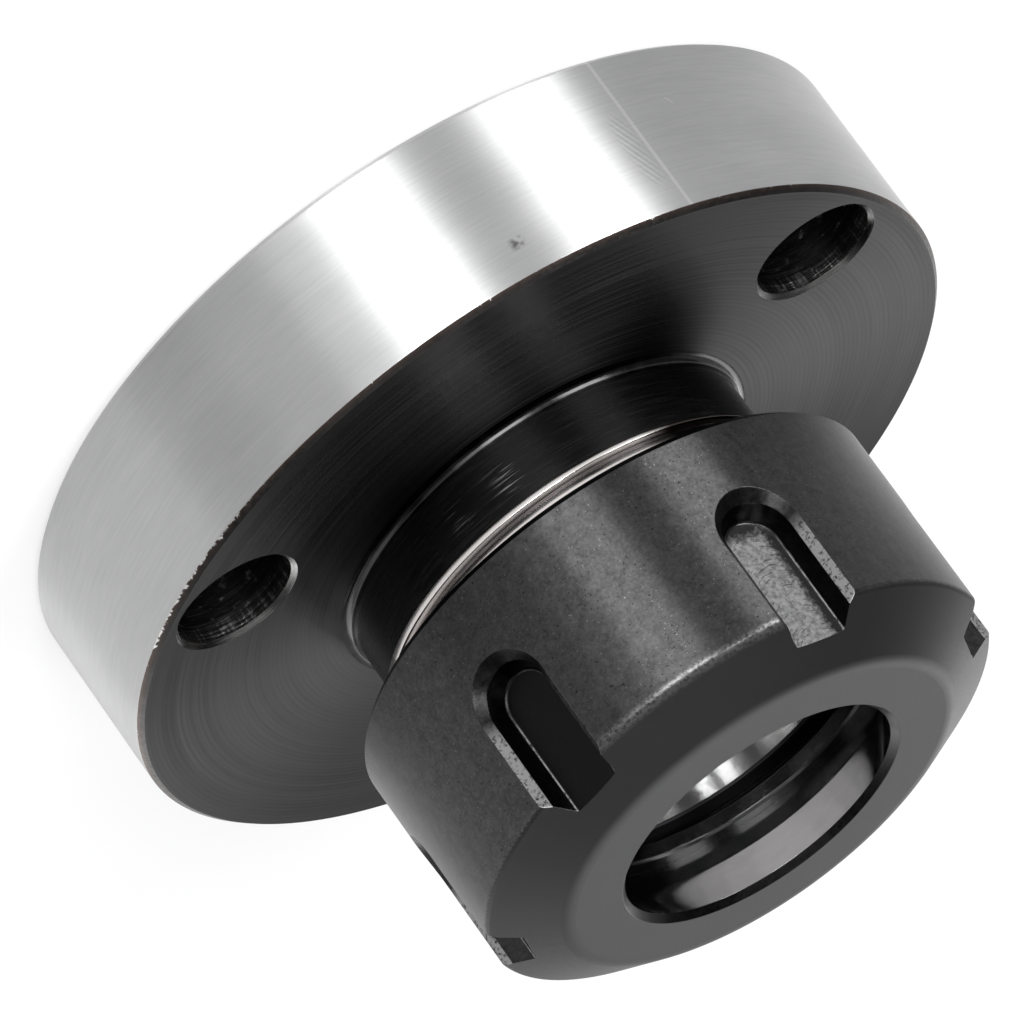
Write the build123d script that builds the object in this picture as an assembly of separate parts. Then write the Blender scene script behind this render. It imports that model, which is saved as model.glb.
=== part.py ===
from build123d import *
import math
import os

# Collet chuck: a flanged body with a threaded nose and a tapered socket, and its clamping nut.
# Millimetres. +Z runs along the spindle axis, from the back face of the flange (Z = 0) to the nut.

# Flange and its mounting
flange_dia = 80.0
flange_thick = 17.0
flange_edge_chamfer = 0.5
bolt_to_rim = 7.0
bolt_count = 3
bolt_first_deg = 90.0
bolt_hole_dia = 6.6
screw_head_bore_dia = 11.0
screw_head_bore_depth = 7.0
screw_head_bore_chamfer = 0.4
register_to_bolt = 5.5
register_depth = 3.5
register_chamfer = 0.4

# Clamping nut, outside
nut_dia = 50.0
nut_wall = 5.0
nut_len = 23.2
nut_gap = 10.8
nut_turn_deg = 7.3
nut_bevel_run = 6.0
nut_bevel_angle = 30.0
nut_bevel_edge_fillet = 0.6
nut_face_fillet = 2.5
nut_rear_chamfer = 0.7

# Clamping nut, inside: steps are radial, measured inwards from the thread
nut_mouth_step = 6.85
nut_mouth_round = 0.6
nut_cone_half_angle = 30.0
nut_cone_len = 4.2
lip_seat_step = 2.8
lip_seat_len = 2.6
lip_step = 4.5
lip_thick = 1.7
lip_chamfer = 0.25
lip_offset = 0.65
thread_clearance = 0.05
thread_relief_depth = 0.8
thread_relief_len = 2.3
thread_entry_chamfer = 1.0

# Neck and threaded nose
neck_undercut = 0.7
neck_len = 7.05
neck_root_fillet = 0.8
thread_start_chamfer = 0.3
nose_len = 16.45
nose_bevel = 1.8

# Collet socket and the bore behind it
socket_wall = 4.25
socket_taper_drop = 4.0
socket_half_angle = 8.0
socket_mouth_chamfer = 0.2
through_bore_chamfer = 1.0

# Wrench slots round the nut
slot_count = 6
slot_floor_width = 5.0
slot_depth = 2.85
slot_len = 14.6
slot_wall_draft = 20.0
slot_edge_chamfer = 1.0
slot_floor_fillet = 0.3
cutter_overrun = 2.0

# Diameters that follow from the flange and the nut
bolt_circle_dia = flange_dia - 2 * bolt_to_rim
register_dia = bolt_circle_dia - 2 * register_to_bolt
thread_dia = nut_dia - 2 * nut_wall
neck_dia = thread_dia - 2 * neck_undercut
nose_face_dia = thread_dia - 2 * nose_bevel
socket_mouth_dia = thread_dia - 2 * socket_wall
through_bore_dia = socket_mouth_dia - 2 * socket_taper_drop
nut_mouth_dia = thread_dia - 2 * nut_mouth_step
lip_seat_dia = thread_dia - 2 * lip_seat_step
lip_dia = thread_dia - 2 * lip_step

# Levels along the axis
thread_z = flange_thick + neck_len
nose_z = thread_z + nose_len
nut_rear_z = flange_thick + nut_gap
nut_face_z = nut_rear_z + nut_len


def turned(points):
    """Solid of revolution about Z from (radius, height) corners."""
    profile = make_face(Polyline(*[(r, 0, z) for r, z in points], close=True))
    return revolve(profile, Axis.Z)


def edges_at(solid, radius, z, centre=(0, 0)):
    """The full circles of one radius at one height."""
    tol = 0.01
    return [
        edge
        for edge in solid.edges().filter_by(GeomType.CIRCLE)
        if abs(edge.radius - radius) < tol
        and abs(edge.arc_center.Z - z) < tol
        and math.dist((edge.arc_center.X, edge.arc_center.Y), centre) < tol
    ]


def body_blank():
    """Flange, neck and nose, with the socket and the bore cut through."""
    flange_r = flange_dia / 2
    neck_r = neck_dia / 2
    thread_r = thread_dia / 2
    outside = turned([
        (0, 0),
        (flange_r, 0),
        (flange_r, flange_thick),
        (neck_r, flange_thick),
        (neck_r, thread_z),
        (thread_r - thread_start_chamfer, thread_z),
        (thread_r, thread_z + thread_start_chamfer),
        (thread_r, nose_z - nose_bevel),
        (nose_face_dia / 2, nose_z),
        (0, nose_z),
    ])
    outside = fillet(edges_at(outside, neck_r, flange_thick), neck_root_fillet)
    rim = edges_at(outside, flange_r, 0) + edges_at(outside, flange_r, flange_thick)
    outside = chamfer(rim, flange_edge_chamfer)

    mouth_r = socket_mouth_dia / 2
    bore_r = through_bore_dia / 2
    socket_len = socket_taper_drop / math.tan(math.radians(socket_half_angle))
    inside = turned([
        (0, 0),
        (register_dia / 2, 0),
        (register_dia / 2, register_depth),
        (bore_r, register_depth),
        (bore_r, nose_z - socket_len),
        (mouth_r, nose_z),
        (0, nose_z),
    ])
    blank = outside - inside
    blank = chamfer(edges_at(blank, register_dia / 2, 0), register_chamfer)
    blank = chamfer(edges_at(blank, bore_r, register_depth), through_bore_chamfer)
    return chamfer(edges_at(blank, mouth_r, nose_z), socket_mouth_chamfer)


def screw_hole():
    """Cutter for one cap screw: shank hole, head bore and the head bore's edge chamfer."""
    head_r = screw_head_bore_dia / 2
    seat_z = flange_thick - screw_head_bore_depth
    return turned([
        (0, -cutter_overrun),
        (bolt_hole_dia / 2, -cutter_overrun),
        (bolt_hole_dia / 2, seat_z),
        (head_r, seat_z),
        (head_r, flange_thick - screw_head_bore_chamfer),
        (head_r + screw_head_bore_chamfer, flange_thick),
        (head_r + screw_head_bore_chamfer, flange_thick + cutter_overrun),
        (0, flange_thick + cutter_overrun),
    ])


def chuck_body():
    """The one-piece steel body."""
    holes = Rot(0, 0, bolt_first_deg) * PolarLocations(bolt_circle_dia / 2, bolt_count)
    return body_blank() - [place * screw_hole() for place in holes]


def nut_outside():
    """Nut blank: a cylinder with a bevelled and rounded front."""
    nut_r = nut_dia / 2
    bevel_z = nut_face_z - nut_bevel_run * math.tan(math.radians(nut_bevel_angle))
    blank = turned([
        (0, nut_rear_z),
        (nut_r - nut_rear_chamfer, nut_rear_z),
        (nut_r, nut_rear_z + nut_rear_chamfer),
        (nut_r, bevel_z),
        (nut_r - nut_bevel_run, nut_face_z),
        (0, nut_face_z),
    ])
    blank = fillet(edges_at(blank, nut_r, bevel_z), nut_bevel_edge_fillet)
    return fillet(edges_at(blank, nut_r - nut_bevel_run, nut_face_z), nut_face_fillet)


def nut_inside():
    """Cutter for the mouth, the collet cone, the eccentric lip and its seat, and the thread."""
    mouth_r = nut_mouth_dia / 2
    cone_front_z = nut_face_z - nut_mouth_round
    cone_rear_z = cone_front_z - nut_cone_len
    cone_rear_r = mouth_r + nut_cone_len * math.tan(math.radians(nut_cone_half_angle))
    front = turned([
        (0, nut_face_z),
        (mouth_r + nut_mouth_round, nut_face_z),
        (mouth_r, cone_front_z),
        (cone_rear_r, cone_rear_z),
        (0, cone_rear_z),
    ])

    lip_front_z = cone_rear_z - lip_seat_len
    lip_rear_z = lip_front_z - lip_thick
    lip_r = lip_dia / 2
    lip_and_seat = turned([
        (0, cone_rear_z),
        (lip_seat_dia / 2, cone_rear_z),
        (lip_seat_dia / 2, lip_front_z),
        (lip_r + lip_chamfer, lip_front_z),
        (lip_r, lip_front_z - lip_chamfer),
        (lip_r, lip_rear_z + lip_chamfer),
        (lip_r + lip_chamfer, lip_rear_z),
        (0, lip_rear_z),
    ])

    thread_r = thread_dia / 2 + thread_clearance
    relief_rear_z = lip_rear_z - thread_relief_len
    thread = turned([
        (0, lip_rear_z),
        (thread_r + thread_relief_depth, lip_rear_z),
        (thread_r + thread_relief_depth, relief_rear_z),
        (thread_r, relief_rear_z),
        (thread_r, nut_rear_z + thread_entry_chamfer),
        (thread_r + thread_entry_chamfer, nut_rear_z),
        (0, nut_rear_z),
    ])
    return [front, Pos(-lip_offset, 0, 0) * lip_and_seat, thread]


def slot_cutter():
    """A drafted slot with a round end, open at the front, with a chamfer along its edge."""
    floor_r = nut_dia / 2 - slot_depth
    half_width = slot_floor_width / 2
    wall_height = slot_depth - slot_edge_chamfer
    wall_spread = wall_height * math.tan(math.radians(slot_wall_draft))
    round_centre_z = nut_face_z - slot_len + half_width
    run_out = slot_len - half_width + cutter_overrun
    floor = Plane(origin=(floor_r, 0, round_centre_z), x_dir=(0, 0, 1), z_dir=(1, 0, 0))

    def outline(half):
        corner, end = (run_out, half), (run_out, -half)
        sides = Polyline((0, half), corner, end, (0, -half))
        return make_face(sides + ThreePointArc((0, -half), (-half, 0), (0, half)))

    walls = extrude(floor * outline(half_width), wall_height, taper=-slot_wall_draft)
    floor_face = walls.faces().sort_by(Axis.X)[0]
    walls = fillet(floor_face.edges(), slot_floor_fillet)
    brim = floor.offset(wall_height) * outline(half_width + wall_spread)
    return walls + extrude(brim, slot_edge_chamfer + cutter_overrun, taper=-45)


def clamping_nut():
    """The nut in its own clocking, turned to where it stands on the thread."""
    slots = [place * slot_cutter() for place in PolarLocations(0, slot_count)]
    nut = nut_outside() - nut_inside() - slots
    return Rot(0, 0, nut_turn_deg) * nut


os.makedirs("parts", exist_ok=True)
export_step(chuck_body(), "parts/chuck_body.step")
export_step(clamping_nut(), "parts/clamping_nut.step")
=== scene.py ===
"""Looks of a flange-mounted collet chuck with its clamping nut.

Row frame in metres: +Z is the spindle axis, from the flange towards the nut. Shapes are written
in millimetres and scaled by MM, and angles round the axis are azimuths in degrees. Lengths inside
the finishes are metres.
"""

import math

import bmesh
import bpy
from mathutils import Matrix, Vector

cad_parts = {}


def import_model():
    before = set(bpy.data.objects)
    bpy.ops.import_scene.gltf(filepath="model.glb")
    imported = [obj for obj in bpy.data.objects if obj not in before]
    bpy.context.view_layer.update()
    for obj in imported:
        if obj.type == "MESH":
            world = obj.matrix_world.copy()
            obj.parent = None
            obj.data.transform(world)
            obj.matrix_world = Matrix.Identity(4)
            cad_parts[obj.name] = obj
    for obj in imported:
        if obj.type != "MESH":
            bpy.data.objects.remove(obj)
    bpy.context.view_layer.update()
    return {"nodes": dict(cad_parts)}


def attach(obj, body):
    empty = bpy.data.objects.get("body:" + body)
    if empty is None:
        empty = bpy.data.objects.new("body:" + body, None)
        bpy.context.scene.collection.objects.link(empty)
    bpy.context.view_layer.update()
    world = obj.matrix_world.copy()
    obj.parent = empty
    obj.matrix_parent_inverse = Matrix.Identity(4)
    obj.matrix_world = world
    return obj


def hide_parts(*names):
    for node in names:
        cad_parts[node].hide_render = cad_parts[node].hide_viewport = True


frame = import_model()

MM = 0.001
SEGMENTS = 256
SHARP_ANGLE = 28.0

# Flange with its register and screw holes.
FLANGE_R, FLANGE_TOP, FLANGE_CHAMFER, CORNER = 40.0, 17.0, 0.5, 0.03
REGISTER_R, REGISTER_DEPTH = 27.5, 3.5
HOLE_CIRCLE_R, HOLE_R, HEAD_R, HEAD_SEAT, HEAD_EDGE = 33.0, 3.3, 5.5, 10.0, 0.4

# Neck, bore, socket and nose.
NECK_R, NECK_TOP, FILLET = 19.3, 24.0, 0.8
BORE_R, SOCKET_BOTTOM, SOCKET_TOP, SOCKET_R, MOUTH_R = 11.75, 12.04, 40.3, 15.72, 15.95
NOSE_TOP, NOSE_BEVEL = 40.5, 1.8

# Thread of the nose, and where its groove starts.
THREAD_R, THREAD_ROOT_R, PITCH = 20.0, 19.5, 1.5
CREST, FLANK, EASE = 0.70, 0.29, 0.05
THREAD_BOTTOM, THREAD_TOP = NECK_TOP + EASE, NOSE_TOP - NOSE_BEVEL
GROOVE_START, GROOVE_TURN = 24.45, 280.9

# Nut: its turn on the nose, side and bevel, wrench slots, and the limits of its inner regions.
NUT_TURN = 7.3
NUT_R, NUT_FACE, BEVEL_START, BEVEL_EDGE, BEVEL_SLOPE = 25.0, 51.0, 47.536, 47.5, 1.7320508
SLOT_FLOOR_R, CUTTER_R, SLOT_END, SLOT_OPEN = 22.15, 2.5, 38.5, 45.0
SEAT_R, SEAT_TOP = 18.8, 46.25
CONE_R, CONE_TOP = 15.7, 50.42
MOUTH_EDGE_R = 13.8
THREAD_BORE_R, THREAD_BORE_TOP = 21.0, 40.0
REAR_EDGE_TOP = 29.0

# Azimuths of the marks, of the painted shade on the thread, and of the painted highlights on the
# nut's bevel and on one slot floor.
RIM_SEAM, RIM_NICK, RIM_SCRATCH, RIM_CHATTER = 242.9, 264.8, 235.8, 244.6
NECK_RUBS = (257, 285, 297)
THREAD_SHADE = 247
EDGE_BURRS = 323
BEVEL_HIGHLIGHT, SLOT_LIT_FLOOR = NUT_TURN + 270, NUT_TURN + 240

# Steps of the tool marks in metres, and the range that most of a noise lies in.
TOOL_FEED, CHATTER_STEP, MILL_STEP = 0.00045, 0.00055, 0.00055
USUAL = (0.3, 0.7)

# Floor and its wall, and the share of plain white seen of them: the near share up to one distance
# in metres, and all of it from the other.
STAGE_R, STAGE_DROP, STAGE_WALL = 3000.0, 0.2, 400.0
NEAR_WHITE, WHITE_FROM, WHITE_AT = 0.6, 0.5, 1.0

# Lamps, in metres. Their azimuths count from LAMP_ZERO, an azimuth of the row frame.
LAMP_ZERO, LAMP_DISTANCE, AIM = 190.9, 1.3, Vector((0, 0, 0.03))


def grey(value):
    return (value, value, value, 1)


class Surface:
    """A node material with short calls for the nodes that the finishes share."""

    def __init__(self, name, **sockets):
        self.material = bpy.data.materials.new(name)
        self.material.use_nodes = True
        self.tree = self.material.node_tree
        self.shader = self.tree.nodes["Principled BSDF"]
        for socket, value in sockets.items():
            self.shader.inputs[socket.replace("_", " ")].default_value = value
        self.place = self.node("ShaderNodeTexCoord").outputs["Object"]
        if sockets.get("Anisotropic"):
            self.ring_tangent()

    def node(self, kind, inputs=(), **settings):
        made = self.tree.nodes.new(kind)
        for name, value in settings.items():
            setattr(made, name, value)
        for key, value in dict(inputs).items():
            self.set(made.inputs[key], value)
        return made

    def set(self, socket, value):
        if isinstance(value, bpy.types.NodeSocket):
            self.tree.links.new(value, socket)
        else:
            socket.default_value = value

    def ring_tangent(self):
        """Grooves that run round the axis stretch the highlights across them."""
        tangent = self.node("ShaderNodeTangent", direction_type="RADIAL", axis="Z")
        self.set(self.shader.inputs["Tangent"], tangent.outputs[0])
        self.shader.inputs["Anisotropic Rotation"].default_value = 0.25

    def calculate(self, operation, a, b=0.0):
        return self.node("ShaderNodeMath", {0: a, 1: b}, operation=operation).outputs[0]

    def plus(self, total, *terms):
        for term in terms:
            total = self.calculate("ADD", total, term)
        return total

    def minus(self, a, b):
        return self.calculate("SUBTRACT", a, b)

    def times(self, product, *factors):
        for factor in factors:
            product = self.calculate("MULTIPLY", product, factor)
        return product

    def largest(self, value, *others):
        for other in others:
            value = self.calculate("MAXIMUM", value, other)
        return value

    def xyz(self):
        return self.node("ShaderNodeSeparateXYZ", {0: self.place}).outputs

    def level(self):
        """Height above the flange's back."""
        return self.xyz()[2]

    def vector(self, operation, a, b=(0, 0, 0)):
        return self.node("ShaderNodeVectorMath", {0: a, 1: b}, operation=operation).outputs

    def stretched(self, round_scale, z_scale):
        return self.vector("MULTIPLY", self.place, (round_scale, round_scale, z_scale))[0]

    def radius(self):
        return self.vector("LENGTH", self.stretched(1, 0))["Value"]

    def round_about(self, along, across):
        """Place for marks that run round the axis: coarse along them, fine across them."""
        x, y, z = self.xyz()
        radius = self.radius()
        made = self.node(
            "ShaderNodeCombineXYZ",
            {
                0: self.times(self.calculate("DIVIDE", x, radius), along),
                1: self.times(self.calculate("DIVIDE", y, radius), along),
                2: self.times(self.plus(z, radius), across),
            },
        )
        return made.outputs[0]

    def arc(self, azimuth):
        """Signed distance along the circle from an azimuth, and about a metre on the far side."""
        a = math.radians(azimuth)
        ahead = self.vector("DOT_PRODUCT", self.place, (-math.sin(a), math.cos(a), 0))
        facing = self.vector("DOT_PRODUCT", self.place, (math.cos(a), math.sin(a), 0))
        return self.plus(ahead["Value"], self.calculate("LESS_THAN", facing["Value"], 0.0))

    def noise(self, vector, scale=1.0, detail=2.0, roughness=0.55):
        made = self.node(
            "ShaderNodeTexNoise",
            {"Vector": vector, "Scale": scale, "Detail": detail, "Roughness": roughness},
        )
        return made.outputs[0]

    def spread(self, value, low, high, to_low=0.0, to_high=1.0):
        """Maps low to high onto to_low to to_high, and stops at both ends."""
        ends = {"From Min": low, "From Max": high, "To Min": to_low, "To Max": to_high}
        return self.node("ShaderNodeMapRange", {"Value": value, **ends}).outputs[0]

    def window(self, value, centre=0.0, half=0.0, fade=0.0):
        """One within half of the centre, falling to nought over the fade."""
        off = self.calculate("ABSOLUTE", self.minus(value, centre))
        return self.spread(off, half, half + fade, 1.0, 0.0)

    def wave(self, value, step, wander=0.0):
        """Sine of one period a step, pushed about by wander."""
        return self.calculate("SINE", self.plus(self.times(value, 2 * math.pi / step), wander))

    def blend(self, amount, a, b):
        return self.node("ShaderNodeMix", {0: amount, 6: a, 7: b}, data_type="RGBA").outputs[2]

    def marked(self, colour, mark, strength, mark_colour):
        return self.blend(self.times(mark, strength), colour, mark_colour)

    def scratch(self, azimuth, height, slant, length, width):
        """One short scratch on the rim; slant is its angle to the circumference."""
        a = math.radians(slant)
        along, up = self.arc(azimuth), self.minus(self.level(), height)
        run = self.plus(self.times(along, math.cos(a)), self.times(up, math.sin(a)))
        off = self.minus(self.times(along, math.sin(a)), self.times(up, math.cos(a)))
        ends = self.window(run, half=length * 0.35, fade=length * 0.15)
        return self.times(ends, self.window(off, half=width * 0.3, fade=width * 0.4))

    def bevel_wear_and_highlight(self, grain):
        """Edge of the nut's bevel: faint wear all round, and a painted highlight strongest between
        the two slots at the front.
        """
        edge = self.window(self.level(), BEVEL_EDGE * MM, half=0.00014, fade=0.0004)
        front = self.window(self.arc(BEVEL_HIGHLIGHT), half=0.0085, fade=0.002)
        return self.times(edge, self.largest(front, 0.06), self.spread(grain, 0.35, 0.55))

    def finish(self, colour, grain, roughness, height, relief, edge=0.0):
        """Wires the shader up.

        roughness is a low and a high value over the usual range of the grain, relief the depth of
        the height map, and edge the radius by which sharp edges look rounded.
        """
        bump = {"Height": height, "Distance": relief, "Strength": 1.0}
        if edge:
            bump["Normal"] = self.node("ShaderNodeBevel", {"Radius": edge}, samples=4).outputs[0]
        self.set(self.shader.inputs["Base Color"], colour)
        self.set(self.shader.inputs["Roughness"], self.spread(grain, *USUAL, *roughness))
        self.set(self.shader.inputs["Normal"], self.node("ShaderNodeBump", bump).outputs[0])
        return self.material


def ground_steel():
    """Rim and back of the flange, ground bright after the blackening, with its few marks."""
    s = Surface("ground_steel", Metallic=1.0, Anisotropic=1.0)
    hair = s.noise(s.round_about(7.0, 9000.0))
    fine = s.noise(s.round_about(9.0, 4200.0), detail=3.0)
    broad = s.noise(s.round_about(1.5, 250.0))
    smear = s.noise(s.place, 90.0)
    tone = s.spread(s.plus(s.times(fine, 0.65), s.times(broad, 0.35)), *USUAL)
    colour = s.blend(tone, (0.377, 0.378, 0.382, 1), (0.44, 0.441, 0.443, 1))

    on_rim = s.calculate("GREATER_THAN", s.radius(), (FLANGE_R - 0.4) * MM)
    seam = s.times(s.window(s.arc(RIM_SEAM), half=0.00012, fade=0.0001), on_rim)
    nick = s.times(
        s.window(s.arc(RIM_NICK), half=0.0003, fade=0.0005),
        s.window(s.level(), 0.0134, half=0.0002, fade=0.0005),
        s.spread(s.noise(s.place, 1500.0), 0.45, 0.6),
    )
    scratch = s.scratch(RIM_SCRATCH, height=0.006, slant=124, length=0.001, width=0.00007)
    colour = s.marked(colour, seam, 0.2, (0.9, 0.89, 0.89, 1))
    colour = s.marked(colour, nick, 0.8, grey(0.06))
    colour = s.marked(colour, scratch, 0.5, grey(0.85))

    slanted = s.plus(s.arc(RIM_CHATTER), s.times(s.level(), 0.45))
    chatter = s.times(
        s.window(s.arc(RIM_CHATTER), half=0.0004, fade=0.0009),
        s.window(s.level(), 0.010, half=0.003, fade=0.002),
        2.4,
        s.wave(slanted, CHATTER_STEP),
    )
    rough = s.plus(s.times(hair, 0.5), s.times(smear, 0.5))
    return s.finish(colour, rough, (0.33, 0.39), s.plus(hair, chatter), relief=0.0000008)


def black_turned():
    """Blackened faces with the turning tool's rings, and painted shade in the feed grooves."""
    s = Surface("black_turned", Metallic=1.0, Anisotropic=0.9, Specular_Tint=grey(0.82))
    rings = s.noise(s.round_about(0.35, 2900.0), detail=3.0, roughness=0.7)
    wander = s.times(s.noise(s.place, 60.0, detail=1.0), 3.0)
    show = s.spread(s.noise(s.place, 85.0), 0.35, 0.62, 0.35, 1.0)
    line = s.times(s.spread(rings, 0.36, 0.64, -1.0, 1.0), show)
    # The feed grooves darken the colour as well as the bump: painted shade in the grooves.
    groove = s.spread(s.wave(s.radius(), TOOL_FEED, wander), 0.25, 0.95, 0.12, -0.75)
    tone = s.plus(s.times(line, 0.35), s.times(groove, show, 0.4))
    colour = s.blend(
        s.spread(tone, -0.45, 0.3), (0.0155, 0.0155, 0.016, 1), (0.039, 0.039, 0.04, 1)
    )
    height = s.plus(s.times(groove, 0.4), rings)
    return s.finish(colour, rings, (0.34, 0.41), height, relief=0.0000035)


def black_gloss():
    """Smooth blackened neck, with the rub marks of handling."""
    s = Surface("black_gloss", Metallic=1.0)
    marks = s.noise(s.round_about(5.0, 6500.0), detail=3.0)
    where = s.noise(s.place, 150.0, detail=1.0)
    wear_and_highlight = s.times(
        s.spread(marks, 0.53, 0.66),
        s.spread(where, 0.35, 0.55),
        s.window(s.level(), 0.0212, half=0.0007, fade=0.001),
        s.largest(*[s.window(s.arc(rub), half=0.0004, fade=0.0016) for rub in NECK_RUBS]),
    )
    colour = s.blend(wear_and_highlight, grey(0.041), grey(0.4))
    return s.finish(colour, marks, (0.2, 0.3), marks, relief=0.0000005)


def black_fillet():
    """Root of the neck, smoother than the neck, and painted darker than it as shade in the corner.
    """
    s = Surface("black_fillet", Metallic=1.0, Specular_Tint=grey(0.8))
    ripple = s.noise(s.round_about(12.0, 500.0))
    # Darker than the neck's oxide: painted shade at the root.
    colour = s.blend(ripple, grey(0.015), grey(0.045))
    return s.finish(colour, ripple, (0.14, 0.26), ripple, relief=0.00001)


def polished_steel():
    """Thread, bright and warm on its crests, with painted shade darkening it on one side."""
    s = Surface("polished_steel", Metallic=1.0)
    marks = s.noise(s.round_about(4.0, 2500.0))
    crest = s.spread(s.radius(), (THREAD_ROOT_R - 0.1) * MM, (THREAD_ROOT_R + 0.2) * MM)
    bright = s.blend(crest, (0.25, 0.22, 0.21, 1), (0.6, 0.57, 0.558, 1))
    # Painted shade: the thread's colour darkens towards one azimuth.
    side = s.spread(s.arc(THREAD_SHADE), -0.002, 0.0015)
    colour = s.blend(side, (0.036, 0.03, 0.028, 1), bright)
    return s.finish(colour, marks, (0.14, 0.22), marks, relief=0.0000004)


def ground_socket():
    """Collet socket, finely ground."""
    s = Surface("ground_socket", Metallic=1.0, Anisotropic=0.85)
    marks = s.noise(s.round_about(3.0, 400.0))
    colour = s.blend(marks, grey(0.82), grey(0.86))
    return s.finish(colour, marks, (0.12, 0.15), marks, relief=0.0000001)


def flange_edge():
    """Chamfer of the flange: blackened, rusty brown at its sharp side, with bright burrs."""
    s = Surface("flange_edge", Metallic=1.0)
    tint = s.noise(s.place, 600.0)
    outer = s.spread(s.level(), FLANGE_TOP * MM - 0.00048, FLANGE_TOP * MM - 0.0002, 1.0, 0.0)
    colour = s.blend(tint, (0.0275, 0.0255, 0.0245, 1), (0.047, 0.043, 0.042, 1))
    colour = s.marked(colour, outer, 0.45, (0.12, 0.076, 0.06, 1))
    jag = s.noise(s.place, 2600.0)
    rare = s.spread(s.noise(s.place, 300.0, detail=1.0), 0.45, 0.65, 0.0, 0.06)
    where = s.window(s.arc(EDGE_BURRS), half=0.0085, fade=0.002)
    push = s.plus(s.times(where, 0.2), rare)
    burr = s.spread(s.plus(s.times(outer, 0.35), push, jag), 0.97, 1.06)
    colour = s.blend(burr, colour, (0.62, 0.61, 0.6, 1))
    return s.finish(colour, jag, (0.3, 0.45), jag, relief=0.000015)


def bored_black():
    """Head bores of the screws: drill marks, hair lines below the edge and a few bright chips."""
    s = Surface("bored_black", Metallic=1.0)
    rings = s.noise(s.stretched(0.25, 5.0), 900.0, detail=3.0, roughness=0.7)
    edge = (FLANGE_TOP - HEAD_EDGE) * MM
    wall = s.spread(s.level(), edge - 0.0001, edge, 1.0, 0.0)
    chips = s.times(s.spread(s.noise(s.place, 1300.0), 0.63, 0.7), wall)
    hair = s.spread(s.noise(s.stretched(1.0, 0.06), 3200.0), 0.5, 0.66)
    hair = s.times(hair, wall, s.spread(s.level(), edge - 0.0018, edge - 0.0008))
    colour = s.blend(wall, (0.124, 0.123, 0.121, 1), (0.1, 0.099, 0.097, 1))
    colour = s.blend(chips, colour, grey(0.6))
    colour = s.blend(hair, colour, grey(0.56))
    return s.finish(colour, rings, (0.18, 0.32), rings, relief=0.00004)


def oxide(name, dark, light, rough, relief, edge=0.0001, ground=False, wear_and_highlight=False):
    """Black oxide on steel; relief is the height of its grain.

    ground is for the nut's side, with grooves round it, pores and a worn edge at the bevel that also
    carries a painted highlight.
    rubbed is for the slots' chamfers: bright and ragged along their straight sides where the wrench
    bears, partly wear and partly a painted highlight, and left dark at the round ends.
    """
    s = Surface(name, Metallic=1.0, Anisotropic=1.0 if ground else 0.0)
    mottle = s.noise(s.place, 3000.0, detail=4.0, roughness=0.65)
    patch = s.noise(s.place, 1000.0, detail=3.0)
    tone = s.spread(s.plus(s.times(mottle, 0.6), s.times(patch, 0.4)), 0.36, 0.64)
    colour = s.blend(tone, (dark, dark, dark * 1.02, 1), (light, light, light * 1.01, 1))
    height = s.plus(mottle, s.times(patch, 1.2))
    if ground:
        pores = s.spread(s.noise(s.place, 3800.0, detail=1.0), 0.68, 0.74)
        specks = s.spread(s.noise(s.place, 5200.0, detail=1.0), 0.7, 0.76)
        # Lightened bevel edge: wear, and a painted highlight at the front.
        colour = s.marked(colour, s.bevel_wear_and_highlight(mottle), 0.6, grey(0.19))
        colour = s.marked(colour, pores, 0.8, grey(0.01))
        colour = s.blend(specks, colour, grey(0.125))
        height = s.minus(height, pores)
    if wear_and_highlight:
        # Lightened straight sides of the chamfers: wear and a painted highlight.
        ragged = s.spread(s.noise(s.place, 3000.0, detail=3.0), 0.3, 0.5)
        straight = s.spread(s.level(), SLOT_END * MM, SLOT_END * MM + 0.002)
        colour = s.blend(s.times(ragged, straight), colour, grey(0.22))
    return s.finish(colour, mottle, (rough - 0.04, rough + 0.04), height, relief, edge)


def matt_front():
    """Bevel and face of the nut: fine matt oxide, a little lighter on the face, the bevel's darker
    colour being painted shade.
    """
    s = Surface("matt_front", Metallic=1.0)
    grain = s.noise(s.place, 3000.0, detail=4.0, roughness=0.65)
    patch = s.noise(s.place, 300.0)
    tone = s.spread(s.plus(s.times(grain, 0.7), s.times(patch, 0.3)), 0.38, 0.62)
    # The bevel is the same oxide as the face, painted darker as shade.
    bevel = s.blend(tone, (0.0243, 0.0243, 0.0246, 1), (0.0268, 0.0268, 0.0271, 1))
    face = s.blend(tone, (0.0475, 0.0475, 0.0478, 1), (0.052, 0.052, 0.0523, 1))
    colour = s.blend(s.spread(s.level(), (NUT_FACE - 0.3) * MM, (NUT_FACE - 0.03) * MM), bevel, face)
    # Lightened bevel edge: wear, and a painted highlight at the front.
    colour = s.marked(colour, s.bevel_wear_and_highlight(grain), 0.5, grey(0.15))
    return s.finish(colour, grain, (0.46, 0.52), grain, relief=0.000001, edge=0.0001)


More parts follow.
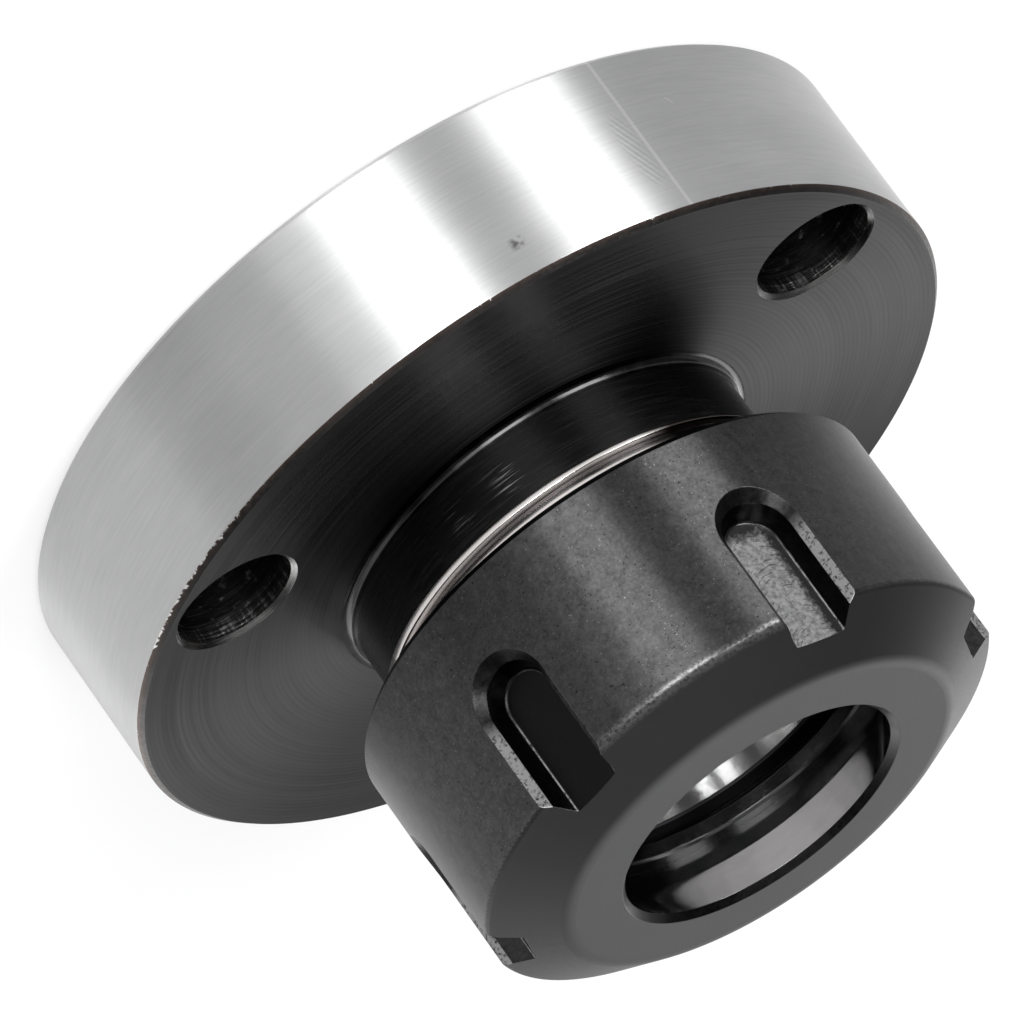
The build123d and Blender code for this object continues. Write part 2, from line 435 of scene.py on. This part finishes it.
def slot_floor():
    """Floor of a wrench slot, with the end mill's arcs across it and a painted highlight on one
    floor, which leaves painted shade along one wall and at the slot's end.
    """
    s = Surface("slot_floor", Metallic=1.0, Anisotropic=1.0)
    x, y, z = s.xyz()
    turn = s.minus(s.calculate("ARCTAN2", y, x), math.radians(NUT_TURN - 30))
    turn = s.minus(s.calculate("FLOORED_MODULO", turn, math.radians(60)), math.radians(30))
    across = s.times(turn, SLOT_FLOOR_R * MM)
    depth = s.minus((CUTTER_R * MM) ** 2, s.times(across, across))
    bow = s.calculate("SQRT", s.largest(depth, 0.0))
    wander = s.times(s.noise(s.place, 550.0), 11.0)
    broken = s.spread(s.noise(s.place, 1100.0), 0.5, 0.6)
    arcs = s.times(s.spread(s.wave(s.plus(z, bow), MILL_STEP, wander), 0.7, 0.98), broken)

    mottle = s.noise(s.place, 2600.0, detail=3.0)
    # dark is the floor's oxide, and bright the colour of the painted highlight.
    dark = s.blend(mottle, grey(0.0132), grey(0.0229))
    bright = s.blend(s.spread(mottle, 0.35, 0.65), grey(0.092), (0.207, 0.207, 0.209, 1))
    jag = s.times(s.minus(mottle, 0.5), 0.0012)
    # Painted highlight on one slot floor only. It is set off from the middle so that a strip along
    # one wall and the slot's end stay dark as painted shade.
    wear_and_highlight = s.times(
        s.window(s.plus(s.arc(SLOT_LIT_FLOOR), jag), 0.0007, half=0.0018, fade=0.0008),
        s.spread(s.plus(s.level(), jag), (SLOT_END - 1.2) * MM, (SLOT_END - 0.1) * MM),
    )
    colour = s.marked(s.blend(wear_and_highlight, dark, bright), arcs, 0.75, grey(0.015))
    height = s.minus(mottle, s.times(arcs, 0.8))
    return s.finish(colour, mottle, (0.4, 0.47), height, relief=0.000006)


def polished_cone():
    """Collet cone of the nut, nearly a mirror."""
    s = Surface("polished_cone", Metallic=1.0)
    marks = s.noise(s.round_about(5.0, 3000.0))
    colour = s.blend(marks, (0.38, 0.369, 0.371, 1), (0.46, 0.446, 0.449, 1))
    return s.finish(colour, marks, (0.09, 0.13), marks, relief=0.0000003, edge=0.0001)


# Finishes of the body, in the order of its material slots.
GROUND, TURNED, GLOSS, POLISHED, SOCKET, EDGE, BORED, ROOT = range(8)


def groove_profile():
    """(offset along the axis, radius) from one groove's start to the next, edges eased."""
    root = PITCH - CREST - 2 * FLANK
    slope = (THREAD_R - THREAD_ROOT_R) / FLANK
    return [
        (-EASE, THREAD_R),
        (0.0, THREAD_R - EASE * 0.3),
        (EASE * 0.6, THREAD_R - EASE * 0.6 * slope),
        (FLANK, THREAD_ROOT_R),
        (FLANK + root, THREAD_ROOT_R),
        (2 * FLANK + root - EASE * 0.6, THREAD_R - EASE * 0.6 * slope),
        (2 * FLANK + root, THREAD_R - EASE * 0.3),
        (2 * FLANK + root + EASE, THREAD_R),
    ]


def thread_radius(offset):
    points = groove_profile()
    points.append((points[0][0] + PITCH, points[0][1]))
    offset = (offset - points[0][0]) % PITCH + points[0][0]
    for (a, ra), (b, rb) in zip(points, points[1:]):
        if a <= offset <= b:
            return ra + (rb - ra) * (offset - a) / (b - a)
    return THREAD_R


def body_profile():
    """Lathe profile before and after the thread, as (radius, height, finish up to the next)."""
    root_r, root_z = NECK_R + FILLET, FLANGE_TOP + FILLET
    fillet = [
        (root_r - FILLET * math.sin(a), root_z - FILLET * math.cos(a), ROOT)
        for a in (math.radians(90 * k / 8) for k in range(8, 0, -1))
    ]
    socket_and_nose = [
        (BORE_R + 1, REGISTER_DEPTH, GROUND), (BORE_R, REGISTER_DEPTH + 1, SOCKET),
        (BORE_R, SOCKET_BOTTOM, SOCKET), (SOCKET_R, SOCKET_TOP, TURNED),
        (MOUTH_R, NOSE_TOP, TURNED), (THREAD_R - NOSE_BEVEL, NOSE_TOP, TURNED),
    ]
    neck = [
        (NECK_R + EASE, THREAD_BOTTOM, GLOSS), (NECK_R, NECK_TOP, GLOSS),
        (NECK_R, root_z + 0.1, ROOT), *fillet,
    ]
    corner_r, low, high = FLANGE_R - CORNER, FLANGE_CHAMFER, FLANGE_TOP - FLANGE_CHAMFER
    flange = [
        (root_r + 0.1, FLANGE_TOP, TURNED), (FLANGE_R - low - EASE, FLANGE_TOP, TURNED),
        (FLANGE_R - low, FLANGE_TOP, EDGE), (corner_r, high + CORNER, GROUND),
        (FLANGE_R, high - CORNER, GROUND), (FLANGE_R, low + CORNER, GROUND),
        (corner_r, low - CORNER, GROUND), (FLANGE_R - low, 0.0, GROUND),
        (FLANGE_R - low - 0.1, 0.0, GROUND),
    ]
    register = [
        (REGISTER_R + 0.5, 0.0, GROUND), (REGISTER_R + 0.4, 0.0, GROUND),
        (REGISTER_R, 0.4, GROUND), (REGISTER_R, REGISTER_DEPTH, GROUND),
    ]
    return socket_and_nose, neck + flange + register


def circle(mesh, radius, z, segments, centre=(0, 0)):
    turns = (2 * math.pi * i / segments for i in range(segments))
    return [
        mesh.verts.new((
            (centre[0] + radius * math.cos(a)) * MM, (centre[1] + radius * math.sin(a)) * MM, z * MM
        ))
        for a in turns
    ]


def quads(low, high):
    """Corners of the faces between two circles."""
    for i in range(len(low)):
        j = (i + 1) % len(low)
        yield low[i], low[j], high[j], high[i]


def build_body_mesh():
    """All rings have the same number of corners, and the thread's rows climb one pitch a turn."""
    before, after = body_profile()
    profile = groove_profile()
    per_turn = len(profile)
    turns = math.ceil((THREAD_TOP - THREAD_BOTTOM) / PITCH) + 2
    start = GROOVE_START - PITCH * GROOVE_TURN / 360
    while start > THREAD_BOTTOM - PITCH - 0.2:
        start -= PITCH
    mesh = bmesh.new()

    def thread_row(offset):
        made = []
        for i in range(SEGMENTS):
            a, lead = 2 * math.pi * i / SEGMENTS, PITCH * i / SEGMENTS
            z = min(max(start + offset + lead, THREAD_BOTTOM), THREAD_TOP)
            radius = thread_radius(z - start - lead)
            made.append(mesh.verts.new((
                radius * MM * math.cos(a), radius * MM * math.sin(a), z * MM
            )))
        return made

    inner = [circle(mesh, r, z, SEGMENTS) for r, z, _ in before]
    outer = [circle(mesh, r, z, SEGMENTS) for r, z, _ in after]
    thread = [thread_row(k * PITCH + off) for k in range(turns + 1) for off, _ in profile]
    faces = []

    def strip(low, high, finish):
        faces.extend((corners, finish) for corners in quads(low, high))

    for k in range(len(inner) - 1):
        strip(inner[k], inner[k + 1], before[k][2])
    strip(inner[-1], thread[-1], TURNED)
    strip(thread[0], outer[0], GLOSS)
    for k in range(len(outer) - 1):
        strip(outer[k], outer[k + 1], after[k][2])
    strip(outer[-1], inner[0], GROUND)

    last = len(thread) - 1
    for k in range(last):
        low, high = thread[k], thread[k + 1]
        for i in range(SEGMENTS - 1):
            faces.append(((high[i], high[i + 1], low[i + 1], low[i]), POLISHED))
        next_low = thread[min(k + per_turn, last)][0]
        next_high = thread[min(k + 1 + per_turn, last)][0]
        faces.append(((high[-1], next_high, next_low, low[-1]), POLISHED))

    for corners, finish in faces:
        corners = list(dict.fromkeys(corners))
        if len(corners) > 2:
            mesh.faces.new(corners).material_index = finish
    bmesh.ops.remove_doubles(mesh, verts=mesh.verts, dist=0.000002)
    bmesh.ops.dissolve_degenerate(mesh, edges=mesh.edges, dist=0.000001)
    loose = [v for v in mesh.verts if not v.link_faces]
    bmesh.ops.delete(mesh, geom=loose, context="VERTS")
    bmesh.ops.recalc_face_normals(mesh, faces=mesh.faces)
    return mesh


def as_object(name, mesh, materials):
    data = bpy.data.meshes.new(name)
    mesh.to_mesh(data)
    mesh.free()
    for material in materials:
        data.materials.append(material)
    made = bpy.data.objects.new(name, data)
    bpy.context.scene.collection.objects.link(made)
    return made


def screw_hole(k):
    """Cutter for one screw hole: clearance hole, head bore and the chamfer at its edge."""
    a = math.radians(90 + 120 * k)
    centre = (HOLE_CIRCLE_R * math.cos(a), HOLE_CIRCLE_R * math.sin(a))
    edge_r, edge_z = HEAD_R + HEAD_EDGE, FLANGE_TOP - HEAD_EDGE
    profile = [
        (HOLE_R, -2.0, BORED), (HOLE_R, HEAD_SEAT, BORED), (HEAD_R, HEAD_SEAT, BORED),
        (HEAD_R, edge_z, BORED), (edge_r, FLANGE_TOP, BORED), (edge_r, FLANGE_TOP + 2, TURNED),
    ]
    mesh = bmesh.new()
    rings = [circle(mesh, radius, z, 72, centre) for radius, z, _ in profile]
    for low, high, (_, _, finish) in zip(rings, rings[1:], profile):
        for corners in quads(low, high):
            mesh.faces.new(corners).material_index = finish
    mesh.faces.new(list(reversed(rings[0])))
    mesh.faces.new(rings[-1])
    bmesh.ops.recalc_face_normals(mesh, faces=mesh.faces)
    return as_object(f"hole{k}", mesh, [])


def cut(target, cutters):
    """Takes the cutters out of target and leaves plain mesh behind."""
    for cutter in cutters:
        modifier = target.modifiers.new("cut", "BOOLEAN")
        modifier.object = cutter
        modifier.solver = "EXACT"
    depsgraph = bpy.context.evaluated_depsgraph_get()
    result = bpy.data.meshes.new_from_object(target.evaluated_get(depsgraph))
    target.modifiers.clear()
    target.data = result
    for cutter in cutters:
        bpy.data.objects.remove(cutter)


def smooth(target):
    target.data.shade_smooth()
    target.data.set_sharp_from_angle(angle=math.radians(SHARP_ANGLE))
    weighted = target.modifiers.new("normals", "WEIGHTED_NORMAL")
    weighted.keep_sharp = True


def build_body():
    finishes = [
        ground_steel(), black_turned(), black_gloss(), polished_steel(),
        ground_socket(), flange_edge(), bored_black(), black_fillet(),
    ]
    body = as_object("chuck_body_finish", build_body_mesh(), finishes)
    cut(body, [screw_hole(k) for k in range(3)])
    smooth(body)
    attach(body, "chuck_body")
    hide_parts("chuck_body")


# Finishes of the nut, in the order of its material slots.
SIDE, FRONT, MILLED, CONE, INNER, FLOOR, MOUTH, CHAMFER = range(8)


def nut_region(centre, normal):
    """Finish of a face of the nut, from where it lies (millimetres) and where it looks."""
    radius, z = math.hypot(centre.x, centre.y), centre.z
    outward = (centre.x * normal.x + centre.y * normal.y) / radius
    across = abs(centre.y * normal.x - centre.x * normal.y) / radius
    skin = min(NUT_R, NUT_R - (z - BEVEL_START) * BEVEL_SLOPE)
    outermost = radius > NUT_R - 0.7
    if radius < SEAT_R and z < SEAT_TOP:
        return INNER
    if radius < CONE_R and z < CONE_TOP:
        return CONE
    if radius < MOUTH_EDGE_R and z > CONE_TOP and abs(normal.z) < 0.99:
        return MOUTH
    if radius < THREAD_BORE_R and z < THREAD_BORE_TOP:
        return INNER
    if SLOT_FLOOR_R - 0.15 < radius < SLOT_FLOOR_R + 0.35 and outward > 0.95:
        return FLOOR
    if SLOT_FLOOR_R - 0.65 < radius < skin - 0.12 and z < CONE_TOP + 0.08:
        sideways = math.hypot(across, normal.z)
        return CHAMFER if outward > 0.5 and sideways > 0.5 else MILLED
    if outermost and z < BEVEL_START + 0.15 and outward > 0.9:
        return SIDE
    if z < REAR_EDGE_TOP and normal.z < 0.8:
        return SIDE
    if outermost and z < BEVEL_START and outward > 0.5 and (z < SLOT_OPEN or across > 0.3):
        return CHAMFER
    if radius > SLOT_FLOOR_R - 0.15 and abs(math.hypot(outward, normal.z) - 1) > 0.01:
        return MILLED
    return FRONT


def build_nut():
    data = frame["nodes"]["clamping_nut"].data.copy()
    data.materials.clear()
    made = bpy.data.objects.new("clamping_nut_finish", data)
    bpy.context.scene.collection.objects.link(made)
    finishes = [
        oxide("oxide_ground", 0.033, 0.065, 0.345, 0.0000022, ground=True),
        matt_front(),
        oxide("milled_oxide", 0.0176, 0.037, 0.2, 0.000006, edge=0.00016),
        polished_cone(),
        oxide("oxide_bore", 0.045, 0.07, 0.17, 0.000001),
        slot_floor(),
        oxide("oxide_mouth", 0.008, 0.018, 0.3, 0.000002),
        # Slot chamfers, with wear and a painted highlight along their straight sides.
        oxide("wear_and_highlight_chamfer", 0.011, 0.024, 0.3, 0.000012, edge=0.00016, wear_and_highlight=True),
    ]
    for finish in finishes:
        data.materials.append(finish)
    for face in data.polygons:
        face.material_index = nut_region(face.center / MM, face.normal)
    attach(made, "clamping_nut")
    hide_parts("clamping_nut")


def floor_material():
    """Pale paint to the light, and seen as white far out and as nearly white near the part."""
    s = Surface("pale_floor", Base_Color=grey(0.85), Roughness=0.9, Specular_IOR_Level=0.0)
    rays = s.node("ShaderNodeLightPath").outputs
    seen = s.largest(rays["Is Camera Ray"], rays["Is Glossy Ray"], rays["Is Transmission Ray"])
    distance = s.vector("LENGTH", s.place)["Value"]
    white = s.times(seen, s.spread(distance, WHITE_FROM, WHITE_AT, NEAR_WHITE, 1.0))
    glow = s.node("ShaderNodeEmission", {"Strength": 1.0})
    mix = s.node("ShaderNodeMixShader", {0: white, 1: s.shader.outputs[0], 2: glow.outputs[0]})
    s.set(s.tree.nodes["Material Output"].inputs["Surface"], mix.outputs[0])
    return s.material


def floor():
    """Pale floor, with a low wall far out that closes the horizon for level views."""
    mesh = bmesh.new()
    low, high = (circle(mesh, STAGE_R, z, 64) for z in (-STAGE_DROP, STAGE_WALL))
    mesh.faces.new(low)
    for corners in quads(low, high):
        mesh.faces.new(corners)
    as_object("floor", mesh, [floor_material()])


def soft_box(name, azimuth, elevation, distance, width, height, radiance):
    """Rectangular lamp that faces the part."""
    a, e = math.radians(azimuth), math.radians(elevation)
    towards = Vector((math.cos(a) * math.cos(e), math.sin(a) * math.cos(e), math.sin(e)))
    data = bpy.data.lights.new(name, "AREA")
    data.shape = "RECTANGLE"
    data.size, data.size_y = width, height
    data.energy = radiance * math.pi * width * height
    lamp = bpy.data.objects.new(name, data)
    lamp.location = AIM + towards * distance
    lamp.rotation_mode = "QUATERNION"
    lamp.rotation_quaternion = towards.to_track_quat("Z", "Y")
    bpy.context.scene.collection.objects.link(lamp)


def lights():
    """A low ring of soft boxes, two higher ones and one overhead."""
    low_ring = (
        ("strip_a", 37.5, 0.51, 14.8),
        ("between", 60, 0.51, 0.4),
        ("strip_b", 82.5, 0.51, 15.0),
        ("fill_c", 101, 0.34, 3.1),
        ("fill_d", 120, 0.51, 0.5),
        ("wall_a", 184, 1.44, 1.25),
        ("wall_b", 226, 0.48, 3.1),
        ("wall_c", 257, 0.85, 0.46),
        ("strip_e", 285, 0.34, 3.6),
        ("fill_f", 307.5, 0.7, 0.65),
    )
    for name, azimuth, width, radiance in low_ring:
        soft_box(name, azimuth + LAMP_ZERO, 17, LAMP_DISTANCE, width, 0.78, radiance)
    soft_box("high_a", 225 + LAMP_ZERO, 50, LAMP_DISTANCE, 0.8, 0.7, 1.0)
    soft_box("high_b", 270 + LAMP_ZERO, 50, LAMP_DISTANCE, 0.8, 0.7, 2.4)
    soft_box("top", 0, 90, 1.4, 1.3, 1.3, 1.15)


def world():
    made = bpy.data.worlds.new("studio")
    made.use_nodes = True
    background = made.node_tree.nodes["Background"]
    background.inputs["Color"].default_value = grey(1)
    background.inputs["Strength"].default_value = 0.15
    bpy.context.scene.world = made


def camera():
    """The photo's camera, as fitted to its outlines."""
    data = bpy.data.cameras.new("camera")
    data.sensor_width = 36.0
    data.lens = 394.6
    data.clip_start, data.clip_end = 0.05, 20.0
    made = bpy.data.objects.new("camera", data)
    right = (-0.84222593, 0.08660098, 0.53212381)
    up = (-0.51100205, -0.44284962, -0.73672323)
    back = (0.17184988, -0.89240377, 0.41723271)
    place = (0.16531928, -0.84730084, 0.41141415)
    columns = [Vector(c) for c in (right, up, back)]
    made.matrix_world = Matrix.Translation(place) @ Matrix(columns).transposed().to_4x4()
    bpy.context.scene.collection.objects.link(made)
    bpy.context.scene.camera = made


build_body()
build_nut()
floor()
lights()
world()
camera()
bpy.context.scene.view_settings.view_transform = "Standard"
